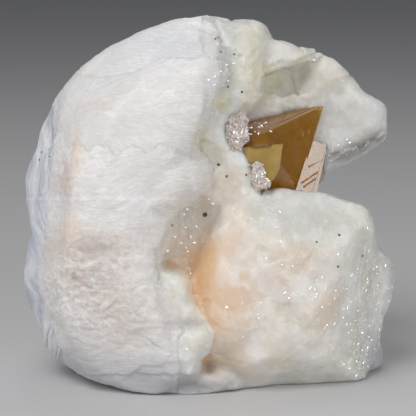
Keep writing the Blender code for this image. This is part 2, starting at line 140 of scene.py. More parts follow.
# Cool places: painted cool shade on faces turned from the light and on the undersides
COOL_SHADE = [
    (-8.7, 81, 11, 3.6, 0.7), (-24, 76, 8, 4, 0.3), (-40.5, 36, 2.2, 30, 0.8),
    (41.9, 29.2, 2, 6, 0.6), (39, 9.6, 2.2, 5, 0.95), (39.6, 65, 2.5, 3.5, 0.4),
    (-13, 4, 10, 4, 0.8), (-0.7, 2.7, 8, 2, 0.8), (-30, 8, 8, 5, 0.4),
]
# Dusky places: painted grey shade under the fan's plate, on the undersides and on other shaded parts; these
# places are also left grainier
DUSKY_SHADE = [
    (-2, 2.6, 8, 1.5, 0.95), (5, 3.4, 3, 1.6, 0.4), (30.5, 55.4, 3.2, 1.3, 0.8),
    (34.8, 57.2, 3.2, 1.5, 0.8), (39.2, 59.6, 3, 1.8, 0.8), (31, 67, 11, 8, 0.30),
    (4, 82, 6, 5, 0.22), (-13, 4, 12, 4, 0.35), (-28, 6, 10, 5, 0.35), (-27, 35, 5, 2.5, 0.35),
    (39, 9.6, 3, 6, 0.5), (3, 12, 3, 2, 0.3), (22, 43, 14, 5, 0.15), (18, 74, 6, 5, 0.25),
]
SWIRL = [
    (-29, 27, 8, 9, 1.0), (-23, 21, 8, 6, 0.9), (-24, 34, 8, 4, 0.8), (-32, 52, 3, 7, 0.7),
    (-20, 12, 8, 4, 0.5),
]
SPARKLE = [
    (-5, 37, 3.5, 5, 1.0), (-4.6, 30.5, 1.5, 2.2, 0.8), (1, 45, 4, 3.5, 0.5), (-4, 12, 2.0, 6, 0.3),
    (35, 12, 5, 9, 0.8), (38, 24, 4, 8, 0.6), (3, 74, 4, 9, 0.5), (28, 22, 5, 6, 0.4),
    (30, 57, 6, 3, 0.6), (43, 62, 2, 5, 0.7), (39, 71, 3, 3, 0.6), (34, 75, 3, 2.5, 0.6),
    (28, 79, 3, 2, 0.5), (14, 40, 4, 3, 0.4), (14.4, 33.0, 1.4, 1.2, 1.0), (16.8, 31.2, 1.4, 1.2, 1.0),
    (16, 20, 8, 8, 0.2),
]
CALM = [
    (7, 24, 9, 16, 1.0), (20, 42, 16, 7, 0.9), (30, 66, 9, 7, 0.9), (20, 16, 12, 9, 0.7),
    (30, 30, 9, 9, 0.7),
]

# Where glints lie on the crystals and on the upper and the lower crust
CRYSTAL_SPARKLE = [(11.8, 61.8, 2.4, 2.6, 1.4)]
UPPER_SPARKLE = [(7.8, 60.8, 2.2, 2.8, 2.5)]
LOWER_SPARKLE = [(12.4, 50.5, 1.4, 2.6, 3.0)]

# The masks that the stilbite's colours read, and the nodes that the stilbite closes on
PAINTED = ("chalk", "peach", "amber_and_shade", "olive_shade", "cool_shade", "swirl", "side", "dusky_shade")
CRYSTAL_NODES = ("powellite_crystals", "apophyllite_upper_crust", "apophyllite_lower_crust")

# Low steps on the surface: a line whose left side is raised and right side lowered, by how much,
# and how far each fades
STEPS = [
    ([(4.6, 77.5), (-2.5, 78), (-9.4, 78), (-16.3, 74.5), (-25, 71)], 0.35, 0.35, 2.0),
    ([(-5, 86.7), (0, 84.4)], 0.3, 0.3, 1.2),
    ([(-35.2, 59.5), (-36.6, 50), (-36.8, 37), (-38.2, 32.6), (-38.8, 28.2), (-36.6, 18.1), (-33.5, 11)],
     0.55, 0.35, 1.8),
    ([(-14.3, 13.5), (-7.8, 10.5)], 0.15, 0.15, 1.2),
    ([(-18.6, 4.5), (-14.3, 7.1), (-7.4, 7.5)], 0.2, 0.15, 1.8),
    ([(-8, 32), (-24, 32), (-33, 30)], 0.3, 0.3, 1.6),
    ([(13.5, 74.3), (15.9, 75.2), (18.6, 76.2), (22.3, 77.4), (26, 78.6)], 0.5, 0.5, 1.3),
    ([(22, 69.5), (17.6, 69.6), (15, 70.5), (12.8, 70.2)], 0.55, 0.35, 1.6),
    ([(0, 16.7), (6, 15.5)], 0.2, 0.15, 1.8),
    ([(0.7, 10.5), (4.4, 9.1)], 0.2, 0.15, 1.4),
    ([(12.9, 34), (18.2, 29.6)], 0.12, 0.12, 1.0),
    ([(36, 34), (34, 24), (35, 14), (32, 6)], 0.15, 0.15, 1.2),
    ([(43.9, 63.5), (41.2, 67.8), (37.5, 71.2), (34.5, 74.2), (30.2, 78.3)], 0.25, 0.35, 1.0),
    ([(15, 76.5), (21, 78.7), (27.5, 80.5)], 0.30, 0.30, 1.2),
    ([(41, 60.8), (34.5, 57.8), (28, 54.6)], 0.35, 0.35, 1.0),
    ([(12.6, 71), (12.9, 74.3)], 0.5, 0.4, 1.0),
    ([(2.4, 86.8), (2.8, 85.2), (3.3, 83.7), (4.6, 81.4), (6.4, 79.5), (7.6, 77.3), (8.2, 75.5)],
     0.4, 0.4, 1.5),
]

# What the honey crystals soak up of the light, and how strong the veils in all clear crystals are
HONEY = (0.94, 0.70, 0.03, 1.0)
PALE_HONEY = (0.96, 0.80, 0.20, 1.0)
CLOUDINESS = 0.26

# The crystal faces used, each as right, up and towards the viewer
PALE_FACE = (-0.05, 0.15, 0.98)
MAIN_FACE = (0.682, 0.050, 0.730)
GLARE_FACE = (0.763, 0.066, 0.643)
SIDE_FACE = (0.956, -0.237, 0.173)
SHOULDER_TOP_FACE = (0.276, 0.961, 0.0)

# The shoulder beside the main crystal: places in the picture, then how far it reaches
SHOULDER_MIDDLE = (22.8, 54.5)
SHOULDER_RIGHT = (25.2, 51.3)
SHOULDER_TOP = (26.0, 58.3)
SHOULDER_OVERLAP = 0.3
SHOULDER_REACH = 30.0
SHOULDER_DEPTH = 11.0
SHOULDER_FOOT = 44.0

# The pale front crystal, the room kept clear before it and the thin parting around it
PALE_OUTLINE = (
    (8.1, 57.4), (13.4, 57.8), (17.2, 58.2), (16.5, 52.5),
    (15.2, 50.0), (12.4, 48.2), (10.1, 51.7), (8.8, 55.0),
)
PALE_THICKNESS = 1.3
PALE_CLEAR = 1.5
PARTING_SCALE = 1.004

# How far the edges of the main and of the pale crystal are worn
EDGE_WEAR = 0.09
PALE_EDGE_WEAR = 0.07

# Growth steps on the crystals: two ends, each as across and up, then width and height
GROWTH_LINES = [
    ((23.2, 52.9), (26.4, 54.6), 0.55, 0.20), ((21.6, 49.2), (25.2, 51.6), 0.55, 0.20),
    ((22.0, 48.2), (24.8, 50.2), 0.5, 0.18), ((18.0, 65.0), (16.2, 62.6), 0.3, 0.10),
    ((25.9, 64.0), (21.4, 50.0), 0.25, 0.08), ((15.2, 62.4), (24.6, 66.6), 0.3, 0.10),
    ((12.4, 58.9), (17.1, 59.2), 0.3, 0.08),
]
GROWTH_LINE_SINK = 0.04

# The small square crystals of the crusts: how many, how wide, how far out and how much they lean
UPPER_CRUST = (520, (0.28, 0.55))
LOWER_CRUST = (330, (0.26, 0.50))
CRUST_LIFT = 0.12
CRUST_LEAN = 0.35
PRISM_STRETCH = 1.15

# The bright cleavage flakes, and the ways they face as right, up and towards the viewer
GLINTS_PER_AREA = 3.0
GLINT_SPREAD = 0.6
GLINT_LENGTHS = (0.2, 0.7)
GLINT_WIDTH = 0.45
GLINT_THICKNESS = 0.06
GLINT_LEAN = 0.10
CLEAVAGES = ((-0.144, 0.324, 0.935), (0.26, 0.03, 0.965))

# How strongly each clear or bright mineral bends the light
STILBITE_INDEX = 1.5
POWELLITE_INDEX = 1.97
APOPHYLLITE_INDEX = 1.54
GLINT_INDEX = 2.4

# Colours as seen on a screen
CHALK_GREY, CHALK_PALE, CHALK_SOILED = (224, 223, 222), (243, 242, 241), (218, 212, 206)
WISP_WHITE = (252, 252, 252)
# The left strips' blue-grey is painted shade of the dome's side turning away from the light
STRIP_SHADE_BLUE, STRIP_WHITE = (162, 169, 187), (244, 245, 249)
TANGLE_SHADE, TANGLE_PALE = (216, 205, 197), (247, 246, 247)
WAX_PALE, WAX_CREAM = (232, 233, 230), (218, 215, 204)
WAX_FLECK, WAX_CLOUD = (248, 248, 247), (248, 247, 244)
# The amber tint is the stone's colour and painted contact shade
# The olive tint is painted shade lit through the stone
PEACH_TINT, AMBER_AND_SHADE_TINT, OLIVE_SHADE_TINT = (229, 204, 182), (230, 190, 142), (232, 220, 160)
# Painted shade: the cool and the dusky tint
COOL_SHADE_TINT, DUSKY_SHADE_TINT = (196, 203, 216), (158, 156, 158)
HONEY_COLOUR, PALE_COLOUR, VEIL_COLOUR = (244, 176, 20), (190, 160, 84), (252, 216, 150)
APOPHYLLITE_COLOUR, APOPHYLLITE_DEPTHS = (254, 244, 240), (250, 236, 230)
GLINT_WARM, GLINT_WHITE = (246, 240, 238), (254, 254, 253)
GRAIN_DARK, GRAIN_PALE = (48, 44, 30), (98, 92, 62)
FLOOR_COLOUR = (205, 205, 206)

# The studio: the floor, then each light's place, size, power and colour, then the surround
FLOOR_HALF = 1.6
LIGHTS = (
    ("key", (-0.20, -0.40, 0.50), 0.34, 2.35, (1.0, 0.99, 0.98)),
    ("fill", (0.30, -0.50, 0.16), 0.30, 1.05, (1.0, 1.0, 1.0)),
    ("left", (-0.55, -0.14, 0.20), 0.30, 0.5, (0.90, 0.94, 1.0)),
    ("top", (0.05, 0.25, 0.60), 0.35, 0.65, (1.0, 0.99, 0.98)),
    ("glare", (0.466, 0.078, 0.076), 0.11, 0.11, (1.0, 1.0, 1.0)),
)
SURROUND_COLOUR = (0.93, 0.95, 1.0, 1)
SURROUND_STRENGTH = 0.12

# Large odd numbers that mix whole numbers into what looks like chance
MIXERS = (374761393, 668265263, 1440670441, 974711)
LAST_MIXER = 1274126177

# Dark grains of another mineral on the stilbite, each as across, up and size
SPECKS = [
    (1.7, 82.3, 0.5), (2.3, 82.6, 0.4), (2.9, 79.3, 0.6), (6.0, 78.8, 0.5), (4.6, 71.3, 0.5),
    (7.8, 70.1, 0.55), (2.4, 53.4, 0.7), (4.3, 50.7, 0.6), (8.8, 51, 0.5), (-0.7, 41.9, 1.1),
    (-8.3, 39.4, 0.7), (30.2, 37.2, 0.6), (25, 35.6, 0.5), (35.6, 32.4, 0.6), (29.9, 29.9, 0.5),
    (-38.3, 56.2, 0.6), (-38.8, 54.5, 0.5), (-36.4, 55.2, 0.4),
]


def view_axes():
    """The picture's right, up and towards-the-viewer directions."""
    rise, level = math.sin(VIEW_TILT), math.cos(VIEW_TILT)
    return Vector((1, 0, 0)), Vector((0, rise, level)), Vector((0, -level, rise))


def in_picture(points):
    """Where points, in millimetres, are seen in the picture, across and up."""
    right, upward, towards = (np.array(axis) for axis in view_axes())
    eye = np.array(AIM) + towards * VIEW_DISTANCE
    rays = points - eye
    far = -rays @ towards
    return VIEW_DISTANCE * (rays @ right) / far, VIEW_DISTANCE * (rays @ upward) / far + PICTURE_MIDDLE_UP


def ray_through(across, up):
    """The eye and the direction, in metres, of the sight line through a place of the picture."""
    right, upward, towards = view_axes()
    eye = AIM + towards * VIEW_DISTANCE
    seen = AIM + right * across + upward * (up - PICTURE_MIDDLE_UP)
    return eye * MM, (seen - eye).normalized()


def scattered(cell, seed):
    """A fixed random share for each whole-numbered cell."""
    mixed = sum(part * mixer for part, mixer in zip((*cell.T, seed), MIXERS)) & 0xFFFFFFFF
    mixed = ((mixed ^ (mixed >> 13)) * LAST_MIXER) & 0xFFFFFFFF
    return ((mixed ^ (mixed >> 16)) & 0xFFFF) / 65535.0


def lattice(points, seed=0):
    """Smooth noise from minus one to one at many points at once."""
    cell = np.floor(points).astype(np.int64)
    part = points - cell
    part = part * part * (3 - 2 * part)
    total = np.zeros(len(points))
    for corner in itertools.product((0, 1), repeat=3):
        share = np.prod(np.where(corner, part, 1 - part), axis=1)
        total += (2 * scattered(cell + corner, seed) - 1) * share
    return total


def broken(points, size, seed):
    """The height of a surface broken in flat tilted patches about one size across."""
    spots = points / size
    home = np.floor(spots).astype(np.int64)
    nearest = np.full(len(spots), 9.0)
    height = np.zeros(len(spots))
    for shift in itertools.product((-1, 0, 1), repeat=3):
        cell = home + shift
        away = spots - cell - np.stack([scattered(cell, seed + axis) for axis in range(3)], axis=1)
        tilt = np.stack([scattered(cell, seed + 3 + axis) for axis in range(3)], axis=1) - 0.5
        far = np.sum(away * away, axis=1)
        height = np.where(far < nearest, np.sum(tilt * away, axis=1), height)
        nearest = np.minimum(far, nearest)
    return height * size


def soft_places(across, up, places):
    """How strongly each point lies in any of the soft tinted places."""
    left = np.ones(len(across))
    for x, y, wide, high, strength in places:
        far = ((across - x) / wide) ** 2 + ((up - y) / high) ** 2
        left *= 1 - strength * np.exp(-0.8 * far)
    return 1 - left


def inside_by(across, up, outline):
    """The distance inside an outline, or minus the distance outside it."""
    corners = np.array(outline, float)
    ends = np.roll(corners, -1, axis=0)
    spots = np.stack([across, up], axis=1)
    nearest = np.full(len(spots), 1e9)
    within = np.zeros(len(spots), bool)
    for start, end in zip(corners, ends):
        side = end - start
        along = np.clip(((spots - start) @ side) / (side @ side), 0, 1)
        nearest = np.minimum(nearest, np.linalg.norm(spots - start - along[:, None] * side, axis=1))
        if start[1] != end[1]:
            crosses = (start[1] > spots[:, 1]) != (end[1] > spots[:, 1])
            within ^= crosses & (spots[:, 0] < start[0] + side[0] * (spots[:, 1] - start[1]) / side[1])
    return np.where(within, nearest, -nearest)


def smooth_step(value, low, high):
    share = np.clip((value - low) / (high - low), 0, 1)
    return share * share * (3 - 2 * share)


def linear(red, green, blue):
    """A shader colour from the 0 to 255 values seen on a screen."""
    shares = (c / 255 for c in (red, green, blue))
    return (*(s / 12.92 if s <= 0.04045 else ((s + 0.055) / 1.055) ** 2.4 for s in shares), 1.0)


def new_object(name, mesh):
    thing = bpy.data.objects.new(name, mesh)
    bpy.context.scene.collection.objects.link(thing)
    return thing


def applied(thing):
    graph = bpy.context.evaluated_depsgraph_get()
    mesh = bpy.data.meshes.new_from_object(thing.evaluated_get(graph), depsgraph=graph)
    thing.modifiers.clear()
    thing.data = mesh


def split_show_side(mesh):
    """Quarter the faces that are turned to the viewer, so the show side is twice as fine."""
    towards = view_axes()[2]
    bm = bmesh.new()
    bm.from_mesh(mesh)
    seen = {edge for face in bm.faces if face.normal.dot(towards) > SHOW_SIDE_FACING for edge in face.edges}
    bmesh.ops.subdivide_edges(bm, edges=list(seen), cuts=1, use_grid_fill=True)
    bm.to_mesh(mesh)
    bm.free()


def fine_copy(node):
    """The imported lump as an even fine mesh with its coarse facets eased."""
    thing = new_object("stilbite_surface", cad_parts[node].data.copy())
    remesh = thing.modifiers.new("fine", "REMESH")
    remesh.mode = "VOXEL"
    remesh.voxel_size = SURFACE_STEP * MM
    ease = thing.modifiers.new("ease", "SMOOTH")
    ease.factor = 0.5
    ease.iterations = SMOOTH_ROUNDS
    applied(thing)
    split_show_side(thing.data)
    return thing


def places_and_normals(mesh):
    count = len(mesh.vertices)
    places, normals = np.empty(count * 3), np.empty(count * 3)
    mesh.vertices.foreach_get("co", places)
    mesh.vertices.foreach_get("normal", normals)
    return places.reshape(-1, 3) / MM, normals.reshape(-1, 3)


def fibre_coordinates(across, up, side):
    """How far across the fibres and along them each point is, and which fan of fibres it is in."""
    flat = np.stack([across, up, across * 0], axis=1)
    line = up + 5.0 * lattice(flat / 11, 5) + 2.0 * lattice(flat / 3.5, 6) + 0.10 * across
    line += 0.5 * lattice(flat / 1.0, 10)
    band = up + 0.8 * lattice(flat / 6, 7) > np.interp(across, *BAND_BOTTOM)
    fans = [
        (UPPER_FAN, np.ones(len(up), bool)),
        (BAND_FAN, band),
        (MIDDLE_FAN, line < MIDDLE_FAN_TOP),
        (LOWER_FAN, line < LOWER_FAN_TOP),
        (SIDE_FAN, side > 0.5),
    ]
    sway = 0.10 * lattice(flat / 12, 8) + 0.03 * lattice(flat / 4.5, 9)
    turned, distance, number = np.zeros(len(up)), np.zeros(len(up)), np.zeros(len(up))
    for index, ((centre, heading, spread), here) in enumerate(fans):
        dx, dy = across - centre[0], up - centre[1]
        reach = np.hypot(dx, dy) + FAN_THROAT
        turned = np.where(here, (np.arctan2(dy, dx) - heading + sway * SWAY / reach) * spread, turned)
        distance = np.where(here, reach, distance)
        number = np.where(here, index, number)
    return turned, distance, number


def regions(places, normals):
    """The masks that tell the kinds of stilbite apart and place the painted shade, for every point of the
    surface.
    """
    across, up = in_picture(places)
    frontward = normals @ np.array(view_axes()[2])
    facing = smooth_step(frontward, 0.02, 0.3)
    ragged = 0.5 * lattice(places / 1.7, 3) + 0.35 * lattice(places / 0.8, 4)
    depth_in = inside_by(across, up, CHALK_FACE) + ragged
    shell = smooth_step(-places[:, 0], 3, 14) * (1 - smooth_step(places[:, 1], 6, 16))
    chalk = np.where(frontward > 0.05, smooth_step(depth_in, -0.15, 0.25), shell)
    strip_edge = np.interp(up, *SIDE_STRIP_EDGE) + 0.6 * lattice(places / 3.0, 18)
    side = smooth_step(strip_edge - across, -0.2, 0.2) * (1 - smooth_step(places[:, 1], 6, 16))
    rim_in = inside_by(across, up, RIM) + 0.4 * ragged
    beyond_rim = 1 - 0.85 * smooth_step(rim_in, -0.25, 0.15)
    masks = {
        "chalk": chalk,
        "side": side,
        "peach": soft_places(across, up, PEACH) * facing * np.maximum(beyond_rim, chalk),
        "amber_and_shade": soft_places(across, up, AMBER_AND_SHADE) * facing * beyond_rim,
        "olive_shade": soft_places(across, up, OLIVE_SHADE) * facing,
        "cool_shade": soft_places(across, up, COOL_SHADE) * facing,
        "swirl": soft_places(across, up, SWIRL) * facing * chalk,
        "sparkle": soft_places(across, up, SPARKLE) * facing,
        "calm": soft_places(across, up, CALM) * facing,
        "border": depth_in,
        "rim": rim_in,
        "dusky_shade": soft_places(across, up, DUSKY_SHADE) * facing,
        "front": facing,
    }
    return across, up, masks


def signed_from_line(across, up, line):
    """The distance from a drawn line, plus on its left side and minus on its right."""
    spots = np.stack([across, up], axis=1)
    nearest, sign = np.full(len(spots), 1e9), np.ones(len(spots))
    corners = np.array(line, float)
    for start, end in zip(corners[:-1], corners[1:]):
        side = end - start
        rel = spots - start
        along = np.clip((rel @ side) / (side @ side), 0, 1)
        far = np.linalg.norm(rel - along[:, None] * side, axis=1)
        turn = side[0] * rel[:, 1] - side[1] * rel[:, 0]
        sign = np.where(far < nearest, np.where(turn > 0, 1.0, -1.0), sign)
        nearest = np.minimum(far, nearest)
    return nearest * sign


def stepped(far, rise, drop, rise_reach, drop_reach):
    """A low step that fades away from its edge, raised where far is above nothing."""
    raised, lowered = rise * np.exp(-far / rise_reach), -drop * np.exp(far / drop_reach)
    return np.where(far > 0, raised, lowered)


def steps(across, up):
    """Low broken steps along the drawn lines, in millimetres."""
    flat = np.stack([across, up, across * 0], axis=1)
    ragged_x = across + 0.8 * lattice(flat / 4, 40) + 0.35 * lattice(flat / 1.3, 41)
    ragged_y = up + 0.8 * lattice(flat / 4, 43) + 0.35 * lattice(flat / 1.3, 44)
    total = np.zeros(len(up))
    for line, rise, drop, reach in STEPS:
        total += stepped(signed_from_line(ragged_x, ragged_y, line), rise, drop, reach, reach)
    return total


def relief(places, across, up, masks):
    """How far each point stands out from the eased lump, in millimetres."""
    across_fibres, distance, number = fibre_coordinates(across, up, masks["side"])
    along = np.stack([across_fibres, distance * 0.10, number * 7], axis=1)
    fibres = 0.05 * lattice(along * (0.6, 1, 1), 11) + 0.035 * lattice(along * (1.6, 1.6, 1), 12)
    flakes = np.stack([across_fibres / 1.6, distance / 7.0, number * 5], axis=1)
    fibres += 0.20 * broken(flakes, 1.0, 14)
    fibres += 0.12 * broken(flakes * (2.0, 1.7, 1), 1.0, 20)
    fibres += 0.22 * lattice(places / 6.0, 26) + 0.10 * lattice(places / 2.5, 27)
    strips = np.stack([across_fibres / 0.9, distance / 14.0, number], axis=1)
    fibres += masks["side"] * (0.45 * broken(strips, 1.0, 28) + 0.25 * lattice(strips * (0.6, 1, 1), 29))
    bent = places / 2.2 + 1.2 * np.stack([lattice(places / 4.0, s) for s in (21, 22, 23)], axis=1)
    curls = 0.5 * (0.35 - np.abs(lattice(bent * 1.4, 24))) + 0.35 * (0.35 - np.abs(lattice(bent * 3, 25)))
    tangle = masks["swirl"]
    chalk_relief = fibres * (1 - 0.7 * tangle) + curls * tangle + 0.05
    calm = masks["calm"]
    ledges = broken(places, 7.0, 31) * 0.12 + broken(places, 2.8, 37) * 0.12
    grain = broken(places, 1.2, 45) * (0.08 + 0.40 * masks["sparkle"] + 0.35 * masks["dusky_shade"])
    waxy_relief = (ledges + grain) * (1 - 0.75 * calm) + 0.12 * lattice(places / 4.5, 35)
    height = masks["chalk"] * chalk_relief + (1 - masks["chalk"]) * waxy_relief
    edges = stepped(masks["border"], 0.35, 0.30, 1.6, 1.5) + stepped(masks["rim"], 0.22, 0.22, 1.2, 1.2)
    height += (edges + steps(across, up)) * masks["front"]
    return height, across_fibres, distance + 40 * number


def add_attribute(mesh, name, values):
    layer = mesh.attributes.new(name, "FLOAT", "POINT")
    layer.data.foreach_set("value", np.asarray(values, np.float32))


def tree_of(mesh):
    return BVHTree.FromPolygons([v.co for v in mesh.vertices], [p.vertices for p in mesh.polygons])


def is_inside(tree, spot):
    """Whether a spot is within a closed surface, by counting what a ray from it crosses."""
    direction = Vector((0.3, -0.9, 0.31)).normalized()
    crossings, start = 0, spot.copy()
    while crossings < 20:
        hit, _, _, _ = tree.ray_cast(start, direction)
        if hit is None:
            break
        crossings += 1
        start = hit + direction * 1e-6
    return crossings % 2 == 1


def meet_crystals(places, height, normals):
    """Raise the relief, except at the crystals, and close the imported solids' gap around them."""
    meeting = []
    fade = np.ones(len(places))
    for node in CRYSTAL_NODES:
        tree = tree_of(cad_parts[node].data)
        low, high = (np.array(corner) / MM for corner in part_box(node))
        near = np.all((places > low - CONTACT_SEARCH) & (places < high + CONTACT_SEARCH), axis=1)
        for index in np.flatnonzero(near):
            spot = Vector(places[index]) * MM
            _, _, _, far = tree.find_nearest(spot)
            fade[index] = min(fade[index], smooth_step(far / MM, *CONTACT_FADE))
        meeting.append((tree, near))
    moved = places + normals * (height * fade)[:, None]
    for tree, near in meeting:
        for index in np.flatnonzero(near):
            spot = Vector(moved[index]) * MM
            nearest, outward, _, far = tree.find_nearest(spot)
            if far < CONTACT_REACH * MM and not is_inside(tree, spot):
                moved[index] = np.array(nearest - (spot - nearest).normalized() * CONTACT_DEPTH * MM) / MM
    return moved


def welded(node):
    """A copy of a node's mesh with its corners joined and its flat faces whole."""
    bm = bmesh.new()
    bm.from_mesh(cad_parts[node].data)
    bmesh.ops.remove_doubles(bm, verts=bm.verts, dist=2e-6)
    bmesh.ops.dissolve_limit(bm, angle_limit=math.radians(0.6), verts=bm.verts, edges=bm.edges)
    mesh = bpy.data.meshes.new(node)
    bm.to_mesh(mesh)
    bm.free()
    return mesh


def carve(thing, mesh):
    """Cut a crystal's place out of the stilbite, so that the two surfaces meet."""
    room = mesh.copy()
    scaled_about_middle(room, CUTTER_SHRINK)
    combined(thing, room, "DIFFERENCE")


def build_stilbite(crystals):
    thing = fine_copy("stilbite_matrix")
    mesh = thing.data
    places, normals = places_and_normals(mesh)
    across, up, masks = regions(places, normals)
    height, fibre_across, fibre_reach = relief(places, across, up, masks)
    height *= smooth_step(places[:, 2], 0.0, BASE_FADE)
    moved = meet_crystals(places, height, normals)
    moved[:, 2] = np.maximum(moved[:, 2], 0.0)
    mesh.vertices.foreach_set("co", (moved * MM).ravel())
    for name in PAINTED:
        add_attribute(mesh, name, masks[name])
    add_attribute(mesh, "fibre_across", fibre_across)
    add_attribute(mesh, "fibre_reach", fibre_reach)
    carve(thing, crystals)
    for node in CRYSTAL_NODES[1:]:
        carve(thing, welded(node))
    mesh = thing.data
    mesh.shade_smooth()
    mesh.materials.clear()
    mesh.materials.append(stilbite_material())
    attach(thing, "root")
    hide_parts("stilbite_matrix")
    return thing


class Shader:
    """A small helper for building one material's nodes."""

    def __init__(self, name):
        self.material = bpy.data.materials.new(name)
        self.material.use_nodes = True
        self.nodes = self.material.node_tree.nodes
        self.links = self.material.node_tree.links
        self.surface = self.nodes["Principled BSDF"]
        self.output = self.nodes["Material Output"]

    def node(self, kind, **settings):
        made = self.nodes.new(kind)
        for name, value in settings.items():
            setattr(made, name, value)
        return made

    def put(self, socket, value):
        if isinstance(value, bpy.types.NodeSocket):
            self.links.new(value, socket)
        else:
            socket.default_value = value

    def mask(self, name):
        return self.node("ShaderNodeAttribute", attribute_name=name).outputs["Fac"]

    def mix(self, share, first, second):
        made = self.node("ShaderNodeMix", data_type="RGBA")
        self.put(made.inputs[0], share)
        self.put(made.inputs[6], first)
        self.put(made.inputs[7], second)
        return made.outputs[2]

    def blend(self, share, first, second):
        made = self.node("ShaderNodeMix", data_type="FLOAT")
        self.put(made.inputs[0], share)
        self.put(made.inputs[2], first)
        self.put(made.inputs[3], second)
        return made.outputs[0]

    def math(self, operation, first, second=0.0):
        made = self.node("ShaderNodeMath", operation=operation)
        self.put(made.inputs[0], first)
        self.put(made.inputs[1], second)
        return made.outputs[0]

    def times(self, first, second):
        return self.math("MULTIPLY", first, second)

    def ramp(self, value, low, high, start=0.0, end=1.0):
        made = self.node("ShaderNodeMapRange")
        self.put(made.inputs["Value"], value)
        for name, number in zip(("From Min", "From Max", "To Min", "To Max"), (low, high, start, end)):
            made.inputs[name].default_value = number
        return made.outputs["Result"]

    def noise(self, place, scale, detail=3.0, roughness=0.55):
        made = self.node("ShaderNodeTexNoise")
        self.put(made.inputs["Vector"], place)
        made.inputs["Scale"].default_value = scale
        made.inputs["Detail"].default_value = detail
        made.inputs["Roughness"].default_value = roughness
        return made.outputs["Fac"]

    def join(self, x, y, z=0.0):
        made = self.node("ShaderNodeCombineXYZ")
        for socket, value in zip(made.inputs, (x, y, z)):
            self.put(socket, value)
        return made.outputs[0]

    def bump(self, height, distance, strength=1.0):
        made = self.node("ShaderNodeBump")
        self.put(made.inputs["Height"], height)
        made.inputs["Distance"].default_value = distance
        self.put(made.inputs["Strength"], strength)
        return made.outputs[0]


def stilbite_material():
    look = Shader("stilbite")
    spot = look.node("ShaderNodeTexCoord").outputs["Object"]
    width, reach = look.mask("fibre_across"), look.mask("fibre_reach")
    streaks = look.noise(look.join(look.times(width, 3.4), look.times(reach, 0.25)), 1.0, 5.0, 0.7)
    leaning = look.math("ADD", look.times(width, 2.4), look.times(reach, 0.30))
    wisps = look.noise(look.join(leaning, look.times(reach, 0.35), 5.0), 1.0, 5.0, 0.75)
    curl = look.noise(look.join(look.times(width, 0.5), look.times(reach, 0.4)), 1.0, 2.0)
    tangled = look.node("ShaderNodeVectorMath", operation="ADD")
    look.put(tangled.inputs[0], spot)
    look.put(tangled.inputs[1], look.join(look.times(curl, 0.004), look.times(streaks, 0.002)))
    flecks = look.noise(tangled.outputs[0], 950.0, 4.0, 0.7)
    broad = look.noise(spot, 140.0, 4.0)
    mottled = look.noise(spot, 600.0, 3.0)
    fine = look.noise(spot, 2200.0, 2.0)

    chalk = look.mix(look.ramp(streaks, 0.35, 0.62), linear(*CHALK_GREY), linear(*CHALK_PALE))
    chalk = look.mix(look.ramp(wisps, 0.50, 0.60, 0.0, 0.95), chalk, linear(*WISP_WHITE))
    layer = look.join(look.times(width, 0.9), look.times(reach, 0.05), 9.0)
    layers = look.noise(layer, 1.0, 4.0, 0.7)
    # The strips' layers, with their blue-grey as painted shade
    strip = look.mix(look.ramp(layers, 0.40, 0.56), linear(*STRIP_SHADE_BLUE), linear(*STRIP_WHITE))
    chalk = look.mix(look.mask("side"), chalk, strip)
    gaps = look.mix(look.ramp(flecks, 0.42, 0.6), linear(*TANGLE_SHADE), linear(*TANGLE_PALE))
    chalk = look.mix(look.ramp(look.mask("swirl"), 0.0, 1.0, 0.22, 0.85), chalk, gaps)
    chalk = look.mix(look.ramp(broad, 0.48, 0.7, 0.0, 0.30), chalk, linear(*CHALK_SOILED))
    waxy = look.mix(look.ramp(broad, 0.35, 0.65), linear(*WAX_PALE), linear(*WAX_CREAM))
    waxy = look.mix(look.ramp(mottled, 0.55, 0.72, 0.0, 0.6), waxy, linear(*WAX_FLECK))
    base = look.mix(look.mask("chalk"), waxy, chalk)
    stain = look.times(look.mask("peach"), look.ramp(broad, 0.35, 0.6, 0.45, 1.0))
    base = look.mix(stain, base, linear(*PEACH_TINT))
    # Amber: the stone's colour, with painted contact shade in the crevice
    base = look.mix(look.mask("amber_and_shade"), base, linear(*AMBER_AND_SHADE_TINT))
    # Painted shade: olive-yellow in the hollows, as light through the stone
    base = look.mix(look.times(look.mask("olive_shade"), 0.8), base, linear(*OLIVE_SHADE_TINT))
    # Painted shade: a cool blue-grey on faces turned from the light
    base = look.mix(look.times(look.mask("cool_shade"), 0.6), base, linear(*COOL_SHADE_TINT))
    # Painted shade: a dusky grey on undersides and shaded parts
    base = look.mix(look.mask("dusky_shade"), base, linear(*DUSKY_SHADE_TINT))

    clouds = look.times(look.ramp(look.noise(spot, 170.0, 5.0, 0.6), 0.50, 0.62), 0.5)
    clear = look.math("SUBTRACT", 1.0, look.math("MAXIMUM", look.mask("chalk"), look.mask("amber_and_shade")))
    clear = look.times(clear, look.math("SUBTRACT", 1.0, look.mask("dusky_shade")))
    base = look.mix(look.times(clouds, clear), base, linear(*WAX_CLOUD))

    shader = look.surface
    look.put(shader.inputs["Base Color"], base)
    waxy_rough = look.ramp(fine, 0.3, 0.7, 0.28, 0.5)
    look.put(shader.inputs["Roughness"], look.blend(look.mask("chalk"), waxy_rough, 0.72))
    shader.inputs["IOR"].default_value = STILBITE_INDEX
    look.put(shader.inputs["Subsurface Weight"], look.blend(look.mask("chalk"), 0.9, 0.4))
    shader.inputs["Subsurface Radius"].default_value = (1.0, 0.8, 0.6)
    shader.inputs["Subsurface Scale"].default_value = 0.004
    threads = look.math("ADD", look.times(streaks, 0.6), look.times(wisps, 0.6))
    chalk_height = look.blend(look.mask("swirl"), threads, flecks)
    waxy_height = look.math("ADD", look.times(mottled, 0.8), look.times(fine, 0.35))
    height = look.blend(look.mask("chalk"), waxy_height, chalk_height)
    look.put(shader.inputs["Normal"], look.bump(height, 0.0004, look.blend(look.mask("chalk"), 0.7, 0.8)))
    return look.material


